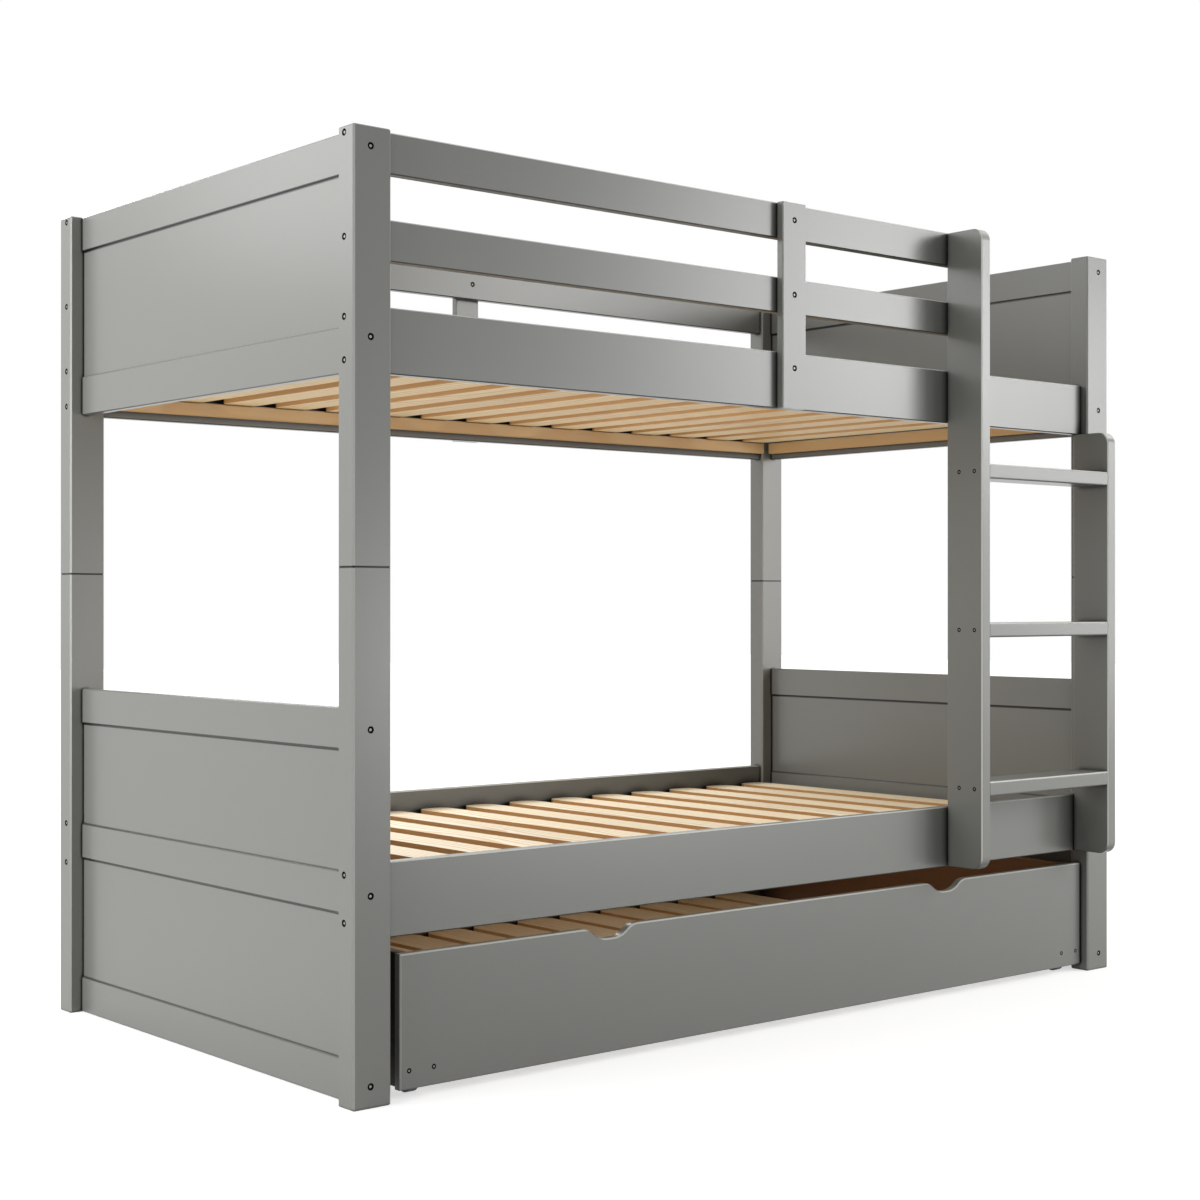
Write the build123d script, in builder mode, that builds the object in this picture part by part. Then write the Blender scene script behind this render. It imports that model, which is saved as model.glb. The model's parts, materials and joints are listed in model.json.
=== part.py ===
from build123d import *
import os

# A wooden twin-over-twin bunk bed with a roll-out trundle, in millimetres.
# X runs along the bed, -Y is the ladder side, +Z is up and the floor is z = 0.

# Overall sizes
bed_l = 2000
bed_w = 1067
bed_h = 1583.5
ladder_reach = 74

# Posts: each is an upper and a lower half, dowelled together
post_l = 73
post_w = 46.4
post_joint_z = 872.4
post_ease = 3
post_top_ease = 2
joint_chamfer = 0.9
dowel_r = 6
dowel_l = 80
dowel_fit = 0.1
dowel_end_gap = 1

# Side rails, guard rails and their setback from the posts' outer faces
rail_set = 18
rail_t = 20
rail_ease = 2
rail_top_gap = 0.5
guard_h = 68
guard_gap = 75
upper_rail_h = 109
lower_rail_h = 124
lower_rail_bottom = 268

# Guard posts, the short uprights that the guard rails are bolted to
guard_post_t = 17
guard_post_w = 64
guard_post_x = {"front": 5.5, "back": -2}
guard_bolt_drops = {"upper_side_rail": 31.4, "guard_middle_rail": 33.4, "guard_top_rail": 33}
guard_bolt_reach = 13

# End frames: rails between the posts, with thin panels held in their grooves
end_rail_set = 24
end_rail_t = 18
panel_set = 27.4
panel_t = 12
tongue = 8
groove_depth = 8.5
groove_fit = 0.3
upper_end_top_h = 68.5
upper_end_bottom_h = 76.5
upper_end_lift = 1
lower_end_rail_h = 69.5
lower_end_bottoms = {"top_rail": 574.5, "middle_rail": 306, "bottom_rail": 1}

# Connector bolts: plain barrels with a hex socket, sunk a little below the wood's face
bolt_r = 5.2
bolt_hole_r = 6
bolt_sink = 1
bolt_reach = 40
socket_flats = 6
socket_depth = 4
end_bolt_from_face = 33
end_bolt_drops = {
    "upper": {"top_rail": 32, "bottom_rail": 22},
    "lower": {"top_rail": 34, "middle_rail": 33.5, "bottom_rail": 35},
}
side_bolt_drops = {
    "lower_side_rail": (93.5, 16),
    "upper_side_rail": (91, 21),
    "guard_middle_rail": (35,),
    "guard_top_rail": (10,),
}

# Slatted bases of the two bunks, on strips fixed inside the rails
slat_count = 15
slat_w = 78
slat_margin = 40.5
slat_t = 18
slat_corner = 20
slat_corner_ease = 7.3
slat_end_gap = 2
slat_lifts = {"upper": 42, "lower": 64}
bearer_t = 18
bearer_h = 27
bearer_ease = 2
bearer_end_gap = 3.5
end_bearer_gap = 10

# Ladder: two stiles and three treads
stile_t = 27.5
stile_d = 92
stile_corner = 25
stile_ease = 2
left_stile_drop = 1.5
right_stile_drop = 1
tread_l = 399.3
tread_d = 80
tread_t = 30
tread_set = 1
tread_ease = 4
tread_count = 3
tread_rise = 326
top_tread_drop = 88
tread_screw_set = (20, 60)

# Headless wood screws, flush with the wood
screw_r = 3
screw_fit = 0.1
screw_l = 55
trundle_screw_l = 30

# Trundle: four boards round a slatted base, on side-mounted rollers
trundle_left_gap = 30
trundle_right_gap = 3
trundle_reveal = 30
trundle_floor_gap = 14
trundle_set = 18
trundle_back_gap = 49
trundle_front_t = 16
trundle_board_t = 16
trundle_inset = 9.5
trundle_ease = 2.5
handle_w = 104
handle_floor_w = 48
handle_depth = 21
handle_lip_r = 36
handle_floor_r = 50
handle_from_end = 453.5
trundle_bearer_z = (31, 58)
trundle_bearer_inset = 57
trundle_slat_count = 13
trundle_slat_w = 100
trundle_slat_margin = 47.5
trundle_slat_t = 17
trundle_slat_end_gap = 2
panel_screw_in = (17.5, 67.3)
panel_screw_z = 45

# Rollers on flanged axle pins set in the trundle's side boards
wheel_r = 22
wheel_w = 22
wheel_chamfer = 2.5
wheel_in = 40
wheel_gap = 3
axle_r = 4
axle_fit = 0.05
axle_spigot_l = 10
axle_flange_r = 12
axle_flange_t = 2.5
axle_cap_r = 7
axle_cap_t = 2
axle_cap_gap = 0.5

# Places worked out from the sizes above
half_l = bed_l / 2
half_w = bed_w / 2
mid_y = ladder_reach / 2
inner_l = half_l - post_l
inner_w = half_w - post_w
rail_out = half_w - rail_set
rail_in = rail_out - rail_t
rail_mid = rail_out - rail_t / 2
end_rail_out = half_l - end_rail_set
end_rail_in = end_rail_out - end_rail_t
panel_out = half_l - panel_set
panel_in = panel_out - panel_t
stile_front_y = mid_y - half_w - ladder_reach
stile_back_y = stile_front_y + stile_d
right_stile_x = inner_l - stile_t
left_stile_x = right_stile_x - tread_l - stile_t
guard_top_z = (bed_h - rail_top_gap - guard_h, bed_h - rail_top_gap)
guard_mid_z = (guard_top_z[0] - guard_gap - guard_h, guard_top_z[0] - guard_gap)
upper_rail_z = (guard_mid_z[0] - guard_gap - upper_rail_h, guard_mid_z[0] - guard_gap)
lower_rail_z = (lower_rail_bottom, lower_rail_bottom + lower_rail_h)
rail_z = {
    "lower_side_rail": lower_rail_z,
    "upper_side_rail": upper_rail_z,
    "guard_middle_rail": guard_mid_z,
    "guard_top_rail": guard_top_z,
}
upper_end_bottom = upper_rail_z[0] + upper_end_lift
end_rail_z = {
    "upper": {
        "top_rail": (guard_top_z[1] - upper_end_top_h, guard_top_z[1]),
        "bottom_rail": (upper_end_bottom, upper_end_bottom + upper_end_bottom_h),
    },
    "lower": {name: (low, low + lower_end_rail_h) for name, low in lower_end_bottoms.items()},
}
upper_ends, lower_ends = end_rail_z["upper"], end_rail_z["lower"]
panel_z = {
    "upper": {"panel": (upper_ends["bottom_rail"][1], upper_ends["top_rail"][0])},
    "lower": {
        "upper_panel": (lower_ends["middle_rail"][1], lower_ends["top_rail"][0]),
        "lower_panel": (lower_ends["bottom_rail"][1], lower_ends["middle_rail"][0]),
    },
}
end_bolt_z = {
    level: {name: end_rail_z[level][name][1] - drop for name, drop in drops.items()}
    for level, drops in end_bolt_drops.items()
}
side_bolt_z = {name: [rail_z[name][1] - drop for drop in drops] for name, drops in side_bolt_drops.items()}
guard_bolt_z = {name: rail_z[name][1] - drop for name, drop in guard_bolt_drops.items()}
slat_bottom_z = {
    "upper": upper_rail_z[0] + slat_lifts["upper"],
    "lower": lower_rail_z[0] + slat_lifts["lower"],
}
slat_pitch = (2 * (end_rail_in - slat_margin) - slat_w) / (slat_count - 1)
tread_tops = [upper_rail_z[0] - top_tread_drop - step * tread_rise for step in range(tread_count)]
stiles = {
    "left": (left_stile_x, (lower_rail_z[0], bed_h - left_stile_drop)),
    "right": (right_stile_x, (lower_rail_z[0], upper_rail_z[0] - right_stile_drop)),
}
trundle_x = (trundle_left_gap - inner_l, inner_l - trundle_right_gap)
trundle_z = (trundle_floor_gap, lower_rail_z[0] - trundle_reveal)
sides = {"left": -1, "right": 1}
rows = {"front": -1, "back": 1}
levels = {"upper": (post_joint_z, bed_h), "lower": (0, post_joint_z)}

guard_end_x = left_stile_x + stile_t
hanging = (Align.CENTER, Align.CENTER, Align.MAX)

os.makedirs("parts", exist_ok=True)


def save(builder, name):
    """Labels a finished part and writes its STEP file."""
    builder.part.label = name
    export_step(builder.part, f"parts/{name}.step")


def slab(x_span, y_span, z_span, mode=Mode.ADD):
    """Adds the block between three spans to the part being built."""
    spans = (x_span, y_span, z_span)
    with Locations(tuple((low + high) / 2 for low, high in spans)):
        Box(*(high - low for low, high in spans), mode=mode)


def along(side, near, far):
    """A span along the bed, from near to far of its middle, on the side -1 or 1."""
    return tuple(sorted((side * near, side * far)))


def across(row, near, far):
    """A span across the bed, from near to far of its middle line, on the row -1 or 1."""
    return tuple(mid_y + edge for edge in along(row, near, far))


def slat_outline(width, length):
    """A slat's outline seen from above, each corner rounded by three short facets."""
    with BuildSketch() as outline:
        Rectangle(width, length)
        chamfer(outline.vertices(), length=slat_corner)
        chamfer(outline.vertices(), length=slat_corner_ease)
    return outline.sketch


def facing(points, outward):
    """Planes at the points, with their normals outward."""
    return [Plane(origin=point, z_dir=outward) for point in points]


def bore(points, outward, radius, depth):
    """Bores holes into the part being built, against the outward direction."""
    with Locations(facing(points, outward)):
        Cylinder(radius, depth, align=hanging, mode=Mode.SUBTRACT)


def socket_bolts(points, outward, length):
    """Adds barrel bolts that start below the face with the points, and cuts their sockets."""
    seats = [tuple(p - bolt_sink * d for p, d in zip(point, outward)) for point in points]
    with Locations(facing(seats, outward)):
        Cylinder(bolt_r, length - bolt_sink, align=hanging)
    with BuildSketch(*facing(seats, outward)) as sockets:
        RegularPolygon(socket_flats / 2, 6, major_radius=False)
    extrude(sockets.sketch, amount=-socket_depth, mode=Mode.SUBTRACT)


# Where each bolt starts: its point on the wood's face and the direction out of it
post_bolts = {"end": [], "side": []}
for row_name, row in rows.items():
    for side_name, side in sides.items():
        for level in levels:
            side_heights = list(side_bolt_z[f"{level}_side_rail"])
            if level == "upper" and (row_name, side_name) != ("front", "right"):
                side_heights += side_bolt_z["guard_middle_rail"] + side_bolt_z["guard_top_rail"]
            end_x, side_y = side * (half_l - end_bolt_from_face), mid_y + row * rail_mid
            post_name = f"{level}_post_{row_name}_{side_name}"
            for z in end_bolt_z[level].values():
                post_bolts["end"].append((post_name, (end_x, mid_y + row * half_w, z), (0, row, 0)))
            for z in side_heights:
                post_bolts["side"].append((post_name, (side * half_l, side_y, z), (side, 0, 0)))

# Posts
for level, (bottom, top) in levels.items():
    for row_name, row in rows.items():
        for side_name, side in sides.items():
            post_name = f"{level}_post_{row_name}_{side_name}"
            post_mid = (side * (inner_l + half_l) / 2, mid_y + row * (inner_w + half_w) / 2)
            with BuildPart() as post:
                slab(along(side, inner_l, half_l), across(row, inner_w, half_w), (bottom, top))
                chamfer(post.edges().filter_by(Axis.Z), length=post_ease)
                joint_edges = post.edges().group_by(Axis.Z)[0 if level == "upper" else -1]
                chamfer(joint_edges, length=joint_chamfer)
                outer_edges = post.edges().group_by(Axis.Z)[-1 if level == "upper" else 0]
                chamfer(outer_edges, length=post_top_ease)
                for name, point, outward in post_bolts["end"] + post_bolts["side"]:
                    if name == post_name:
                        bore([point], outward, bolt_hole_r, post_w if outward[1] else post_l)
                with Locations((*post_mid, post_joint_z)):
                    Cylinder(dowel_r + dowel_fit, dowel_l + 2 * dowel_end_gap, mode=Mode.SUBTRACT)
                for low, high in panel_z[level].values():
                    slab(
                        along(side, panel_in - groove_fit, panel_out + groove_fit),
                        across(row, inner_w - groove_depth, inner_w + groove_depth),
                        (low - groove_depth, high + groove_depth),
                        mode=Mode.SUBTRACT,
                    )
            save(post, post_name)

with BuildPart() as post_dowels:
    with Locations((0, mid_y, post_joint_z)):
        with GridLocations(inner_l + half_l, inner_w + half_w, 2, 2):
            Cylinder(dowel_r, dowel_l)
save(post_dowels, "post_dowels")

# End frames
for side_name, side in sides.items():
    for level, level_rails in end_rail_z.items():
        for rail_name, (bottom, top) in level_rails.items():
            with BuildPart() as end_rail:
                slab(along(side, end_rail_in, end_rail_out), across(1, -inner_w, inner_w), (bottom, top))
                chamfer(end_rail.edges().filter_by(Axis.Y), length=rail_ease)
                for low, high in panel_z[level].values():
                    if low == top or high == bottom:
                        slab(
                            along(side, panel_in - groove_fit, panel_out + groove_fit),
                            across(1, -inner_w, inner_w),
                            (low - groove_depth, high + groove_depth),
                            mode=Mode.SUBTRACT,
                        )
                for row in rows.values():
                    bolt_z = end_bolt_z[level][rail_name]
                    end_point = (side * (half_l - end_bolt_from_face), mid_y + row * inner_w, bolt_z)
                    bore([end_point], (0, row, 0), bolt_hole_r, bolt_reach)
            save(end_rail, f"{level}_end_{side_name}_{rail_name}")
        for panel_name, (low, high) in panel_z[level].items():
            with BuildPart() as panel:
                slab(
                    along(side, panel_in, panel_out),
                    across(1, -inner_w - tongue, inner_w + tongue),
                    (low - tongue, high + tongue),
                )
            save(panel, f"{level}_end_{side_name}_{panel_name}")

# Side rails and guard rails; the front guard rails end behind the ladder's left stile
for name, z_span in rail_z.items():
    for row_name, row in rows.items():
        right_end = guard_end_x if row_name == "front" and name.startswith("guard") else inner_l
        with BuildPart() as rail:
            slab((-inner_l, right_end), across(row, rail_in, rail_out), z_span)
            chamfer(rail.edges().filter_by(Axis.X), length=rail_ease)
            for side in sides.values():
                if side * inner_l <= right_end:
                    ends = [(side * inner_l, mid_y + row * rail_mid, z) for z in side_bolt_z[name]]
                    bore(ends, (side, 0, 0), bolt_hole_r, bolt_reach)
            if name in guard_bolt_z:
                face = rail_out if row_name == "front" else rail_in
                depth = guard_bolt_reach if row_name == "front" else rail_t
                point = (guard_post_x[row_name], mid_y + row * face, guard_bolt_z[name])
                bore([point], (0, -1, 0), bolt_hole_r, depth)
        save(rail, f"{name}_{row_name}")

# Guard posts: their bolts are turned from the ladder side, through the post in front and the rails behind
for row_name, row in rows.items():
    x = guard_post_x[row_name]
    with BuildPart() as guard_post:
        slab(
            (x - guard_post_w / 2, x + guard_post_w / 2),
            across(row, rail_out, rail_out + guard_post_t),
            (upper_rail_z[0], guard_top_z[1]),
        )
        chamfer(guard_post.edges().filter_by(Axis.Z), length=rail_ease)
        face = rail_out + guard_post_t if row_name == "front" else rail_out
        depth = guard_post_t if row_name == "front" else guard_bolt_reach
        bore([(x, mid_y + row * face, z) for z in guard_bolt_z.values()], (0, -1, 0), bolt_hole_r, depth)
    save(guard_post, f"guard_post_{row_name}")

# Bolts
for kind, reach in {"end": post_w + bolt_reach, "side": post_l + bolt_reach}.items():
    with BuildPart() as bolts:
        for name, point, outward in post_bolts[kind]:
            socket_bolts([point], outward, reach)
    save(bolts, f"{kind}_bolts")

with BuildPart() as guard_bolts:
    front_face = mid_y - rail_out - guard_post_t
    front_points = [(guard_post_x["front"], front_face, z) for z in guard_bolt_z.values()]
    back_points = [(guard_post_x["back"], mid_y + rail_in, z) for z in guard_bolt_z.values()]
    socket_bolts(front_points, (0, -1, 0), guard_post_t + guard_bolt_reach)
    socket_bolts(back_points, (0, -1, 0), rail_t + guard_bolt_reach)
save(guard_bolts, "guard_bolts")

# Slatted bases of the bunks
with BuildPart() as side_bearers:
    for row in rows.values():
        for slat_z in slat_bottom_z.values():
            slab(
                (-inner_l + bearer_end_gap, inner_l - bearer_end_gap),
                across(row, rail_in - bearer_t, rail_in),
                (slat_z - bearer_h, slat_z),
            )
    chamfer(side_bearers.edges().filter_by(Axis.X), length=bearer_ease)
save(side_bearers, "side_bearers")

with BuildPart() as end_bearers:
    for side in sides.values():
        for slat_z in slat_bottom_z.values():
            slab(
                along(side, end_rail_in - bearer_t, end_rail_in),
                across(1, end_bearer_gap - inner_w, inner_w - end_bearer_gap),
                (slat_z - bearer_h, slat_z),
            )
    chamfer(end_bearers.edges().filter_by(Axis.Y), length=bearer_ease)
save(end_bearers, "end_bearers")

for level, slat_z in slat_bottom_z.items():
    with BuildPart() as slats:
        with BuildSketch(Plane.XY.offset(slat_z)):
            with Locations((0, mid_y)):
                with GridLocations(slat_pitch, 0, slat_count, 1):
                    add(slat_outline(slat_w, 2 * (rail_in - slat_end_gap)))
        extrude(amount=slat_t)
    save(slats, f"{level}_slats")

# Ladder: each stile's outer face, where the treads' screws go in, is the one away from the treads
tread_x = (left_stile_x + stile_t, right_stile_x)
tread_screws = {}
for side_name, (stile_x, stile_z) in stiles.items():
    side = sides[side_name]
    outer_x = tread_x[0 if side < 0 else 1] + side * stile_t
    tread_screws[side] = [
        (outer_x, stile_front_y + set_back, top - tread_t / 2)
        for top in tread_tops
        for set_back in tread_screw_set
    ]
    with BuildPart() as stile:
        with BuildSketch(Plane.YZ.offset(stile_x)):
            with Locations(((stile_front_y + stile_back_y) / 2, sum(stile_z) / 2)):
                Rectangle(stile_d, stile_z[1] - stile_z[0])
            fillet(vertices().group_by(Axis.X)[0], radius=stile_corner)
        extrude(amount=stile_t)
        chamfer(stile.faces().filter_by(Axis.X).edges(), length=stile_ease)
        bore(tread_screws[side], (side, 0, 0), screw_r + screw_fit, stile_t)
    save(stile, f"ladder_stile_{side_name}")

with BuildPart() as ladder_treads:
    for top in tread_tops:
        tread_y = (stile_front_y + tread_set, stile_front_y + tread_set + tread_d)
        slab(tread_x, tread_y, (top - tread_t, top))
    fillet(ladder_treads.edges().filter_by(Axis.X), radius=tread_ease)
    for side, points in tread_screws.items():
        ends = [(x - side * stile_t, y, z) for x, y, z in points]
        bore(ends, (side, 0, 0), screw_r + screw_fit, screw_l - stile_t)
save(ladder_treads, "ladder_treads")

with BuildPart() as ladder_screws:
    for side, points in tread_screws.items():
        with Locations(facing(points, (side, 0, 0))):
            Cylinder(screw_r, screw_l, align=hanging)
save(ladder_screws, "ladder_screws")

# Trundle places
trundle_mid_x = sum(trundle_x) / 2
trundle_half = (trundle_x[1] - trundle_x[0]) / 2
trundle_front_y = mid_y - half_w + trundle_set
trundle_back_y = mid_y + half_w - trundle_back_gap
shell_y = (trundle_front_y + trundle_front_t, trundle_back_y - trundle_board_t)
board_out = trundle_half - trundle_inset
board_in = board_out - trundle_board_t
screw_points = [
    (trundle_mid_x + side * (trundle_half - set_in), trundle_front_y, panel_screw_z)
    for side in sides.values()
    for set_in in panel_screw_in
]

with BuildPart() as trundle_front:
    with BuildSketch(Plane.XZ.offset(-shell_y[0])):
        with Locations((trundle_mid_x, sum(trundle_z) / 2)):
            Rectangle(2 * trundle_half, trundle_z[1] - trundle_z[0])
        top, floor = trundle_z[1], trundle_z[1] - handle_depth
        for side in sides.values():
            handle_x = trundle_mid_x + side * (trundle_half - handle_from_end)
            with BuildLine():
                Polyline(
                    (handle_x - handle_w / 2, top),
                    (handle_x - handle_floor_w / 2, floor),
                    (handle_x + handle_floor_w / 2, floor),
                    (handle_x + handle_w / 2, top),
                    close=True,
                )
            make_face(mode=Mode.SUBTRACT)
            for height, radius in ((floor, handle_floor_r), (top, handle_lip_r)):
                corners = [
                    corner
                    for corner in vertices()
                    if abs(corner.X - handle_x) < handle_w and abs(corner.Y - height) < handle_depth / 2
                ]
                fillet(corners, radius=radius)
    extrude(amount=trundle_front_t)
    chamfer(trundle_front.faces().sort_by(Axis.Y)[0].edges(), length=trundle_ease)
    bore(screw_points, (0, -1, 0), screw_r + screw_fit, trundle_front_t)
save(trundle_front, "trundle_front")

with BuildPart() as trundle_back:
    board_x = (trundle_mid_x - board_out, trundle_mid_x + board_out)
    slab(board_x, (shell_y[1], trundle_back_y), trundle_z)
    chamfer(trundle_back.edges().filter_by(Axis.X), length=rail_ease)
save(trundle_back, "trundle_back")

wheel_x = board_in - axle_flange_t - wheel_gap - wheel_w / 2
wheel_places = {
    f"{row_name}_{side_name}": (side, trundle_mid_x + side * wheel_x, y)
    for row_name, y in (("front", trundle_front_y + wheel_in), ("back", trundle_back_y - wheel_in))
    for side_name, side in sides.items()
}
screw_grip = trundle_screw_l - trundle_front_t
for side_name, side in sides.items():
    side_x = sorted((trundle_mid_x + side * board_in, trundle_mid_x + side * board_out))
    with BuildPart() as trundle_side:
        slab(side_x, shell_y, trundle_z)
        chamfer(trundle_side.edges().filter_by(Axis.Y), length=rail_ease)
        ends = [(x, shell_y[0], z) for x, y, z in screw_points if side_x[0] < x < side_x[1]]
        bore(ends, (0, -1, 0), screw_r + screw_fit, screw_grip)
        axle_points = [
            (trundle_mid_x + side * board_in, y, wheel_r)
            for wheel_side, x, y in wheel_places.values()
            if wheel_side == side
        ]
        bore(axle_points, (-side, 0, 0), axle_r + screw_fit, axle_spigot_l)
    save(trundle_side, f"trundle_side_{side_name}")

with BuildPart() as trundle_bearers:
    bearer_x = (trundle_x[0] + trundle_bearer_inset, trundle_x[1] - trundle_bearer_inset)
    slab(bearer_x, (shell_y[0], shell_y[0] + bearer_t), trundle_bearer_z)
    slab(bearer_x, (shell_y[1] - bearer_t, shell_y[1]), trundle_bearer_z)
    ends = [(x, shell_y[0], z) for x, y, z in screw_points if bearer_x[0] < x < bearer_x[1]]
    bore(ends, (0, -1, 0), screw_r + screw_fit, screw_grip)
save(trundle_bearers, "trundle_bearers")

trundle_slat_l = shell_y[1] - shell_y[0] - 2 * trundle_slat_end_gap
slats_span = bearer_x[1] - bearer_x[0] - 2 * trundle_slat_margin
trundle_slat_pitch = (slats_span - trundle_slat_w) / (trundle_slat_count - 1)
with BuildPart() as trundle_slats:
    with BuildSketch(Plane.XY.offset(trundle_bearer_z[1])):
        with Locations((trundle_mid_x, sum(shell_y) / 2)):
            with GridLocations(trundle_slat_pitch, 0, trundle_slat_count, 1):
                add(slat_outline(trundle_slat_w, trundle_slat_l))
    extrude(amount=trundle_slat_t)
save(trundle_slats, "trundle_slats")

with BuildPart() as trundle_screws:
    with Locations(facing(screw_points, (0, -1, 0))):
        Cylinder(screw_r, trundle_screw_l, align=hanging)
save(trundle_screws, "trundle_screws")

# Rollers and their axle pins
with BuildPart() as wheel_axles:
    cap_at = axle_flange_t + wheel_gap + wheel_w + axle_cap_gap
    for side, x, y in wheel_places.values():
        board_face = trundle_mid_x + side * board_in
        with BuildSketch(Plane(origin=(board_face, y, wheel_r), x_dir=(-side, 0, 0), z_dir=(0, -1, 0))):
            with BuildLine():
                Polyline(
                    (-axle_spigot_l, 0),
                    (-axle_spigot_l, axle_r),
                    (0, axle_r),
                    (0, axle_flange_r),
                    (axle_flange_t, axle_flange_r),
                    (axle_flange_t, axle_r),
                    (cap_at, axle_r),
                    (cap_at, axle_cap_r),
                    (cap_at + axle_cap_t, axle_cap_r),
                    (cap_at + axle_cap_t, 0),
                    close=True,
                )
            make_face()
        revolve(axis=Axis((board_face, y, wheel_r), (1, 0, 0)))
save(wheel_axles, "wheel_axles")

for place, (side, x, y) in wheel_places.items():
    with BuildPart() as wheel:
        with BuildSketch(Plane(origin=(x, y, wheel_r), x_dir=(1, 0, 0), z_dir=(0, -1, 0))):
            with Locations((0, (axle_r + axle_fit + wheel_r) / 2)):
                Rectangle(wheel_w, wheel_r - axle_r - axle_fit)
            chamfer(vertices().group_by(Axis.Y)[-1], length=wheel_chamfer)
        revolve(axis=Axis((x, y, wheel_r), (1, 0, 0)))
    save(wheel, f"wheel_{place}")
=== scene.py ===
import json
import math

import bpy
import numpy as np
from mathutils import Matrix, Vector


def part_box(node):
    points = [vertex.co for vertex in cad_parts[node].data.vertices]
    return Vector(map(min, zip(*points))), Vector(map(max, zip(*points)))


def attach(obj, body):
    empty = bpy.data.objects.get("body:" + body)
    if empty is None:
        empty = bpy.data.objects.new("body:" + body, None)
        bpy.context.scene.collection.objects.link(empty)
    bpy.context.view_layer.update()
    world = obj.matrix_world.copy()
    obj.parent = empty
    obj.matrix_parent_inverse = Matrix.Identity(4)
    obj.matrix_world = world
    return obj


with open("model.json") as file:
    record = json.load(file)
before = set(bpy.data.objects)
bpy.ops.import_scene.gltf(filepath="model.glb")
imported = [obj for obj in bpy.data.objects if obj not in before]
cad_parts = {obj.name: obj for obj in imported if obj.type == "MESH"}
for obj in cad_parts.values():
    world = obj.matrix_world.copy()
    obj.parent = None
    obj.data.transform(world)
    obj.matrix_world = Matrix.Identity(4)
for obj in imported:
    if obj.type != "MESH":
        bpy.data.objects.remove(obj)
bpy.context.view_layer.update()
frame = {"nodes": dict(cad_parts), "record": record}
bedNodes = frame["nodes"]
slotOfNode = {part["node"]: part["material_slot"] for part in frame["record"]["subparts"]}
print("bed loaded:", len(bedNodes), "pieces")


# Small helpers for the shader trees

def linearColour(red, green, blue):
    # a colour as it shows on screen, 0 to 255, turned into the light value that the shader wants
    parts = [value / 255 for value in (red, green, blue)]
    return [p / 12.92 if p <= 0.04045 else ((p + 0.055) / 1.055) ** 2.4 for p in parts] + [1.0]


def addNode(tree, kind, place=(0, 0), **settings):
    node = tree.nodes.new(kind)
    node.location = place
    for name, value in settings.items():
        setattr(node, name, value)
    return node


def joinSockets(tree, *pairs):
    for source, target in pairs:
        tree.links.new(source, target)


def mathNode(tree, operation, first, second=None, third=None, place=(0, 0), clamp=False):
    # one sum; each input is a number or another node's output
    node = addNode(tree, "ShaderNodeMath", place, operation=operation, use_clamp=clamp)
    for socket, value in zip(node.inputs, (first, second, third)):
        if value is None:
            continue
        if isinstance(value, (int, float)):
            socket.default_value = value
        else:
            tree.links.new(value, socket)
    return node.outputs[0]


def softStep(tree, value, low, high, place=(0, 0)):
    # 0 below low, 1 above high, a smooth curve between
    node = addNode(tree, "ShaderNodeMapRange", place, interpolation_type="SMOOTHSTEP")
    node.inputs["From Min"].default_value = low
    node.inputs["From Max"].default_value = high
    tree.links.new(value, node.inputs["Value"])
    return node.outputs[0]


def startGroup(name, takes, gives):
    # a shader node group with named inputs and outputs
    group = bpy.data.node_groups.new(name, "ShaderNodeTree")
    for label, kind, value in takes:
        socket = group.interface.new_socket(label, in_out="INPUT", socket_type=kind)
        if value is not None:
            socket.default_value = value
    for label, kind in gives:
        group.interface.new_socket(label, in_out="OUTPUT", socket_type=kind)
    start = addNode(group, "NodeGroupInput", (-1200, 0))
    end = addNode(group, "NodeGroupOutput", (900, 0))
    return group, start.outputs, end.inputs


def startMaterial(name):
    material = bpy.data.materials.new(name)
    material.use_nodes = True
    tree = material.node_tree
    shader = next(node for node in tree.nodes if node.type == "BSDF_PRINCIPLED")
    return material, tree, shader


def placeGroup(tree, group, values, place=(-500, 0)):
    node = addNode(tree, "ShaderNodeGroup", place, node_tree=group)
    for name, value in values.items():
        node.inputs[name].default_value = value
    return node


# Seams and edges: painted shade where pieces meet and in corners, a painted highlight along edges

seamShadeAndEdgeLight, seamIn, seamOut = startGroup(
    "seamShadeAndEdgeLight",
    [("Seam reach", "NodeSocketFloat", 0.008), ("Edge reach", "NodeSocketFloat", 0.0025)],
    [("Seam", "NodeSocketFloat"), ("Edge", "NodeSocketFloat")],
)
tree = seamShadeAndEdgeLight
# how open a spot is where a seam or an edge begins, and where it is full
seamLook = {"samples": 8, "seamShade": (0.85, 0.45), "edge": (0.8, 0.4)}
nearby = addNode(tree, "ShaderNodeAmbientOcclusion", (-900, 200), samples=seamLook["samples"])
within = addNode(tree, "ShaderNodeAmbientOcclusion", (-900, -100), samples=seamLook["samples"],
                 inside=True, only_local=True)
joinSockets(tree, (seamIn["Seam reach"], nearby.inputs["Distance"]),
            (seamIn["Edge reach"], within.inputs["Distance"]),
            (softStep(tree, nearby.outputs["AO"], *seamLook["seamShade"], (-600, 200)), seamOut["Seam"]),
            (softStep(tree, within.outputs["AO"], *seamLook["edge"], (-600, -100)), seamOut["Edge"]))


# each end panel lies in a groove under the rail above it: a painted shadow line follows that rail's lower lip

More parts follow.
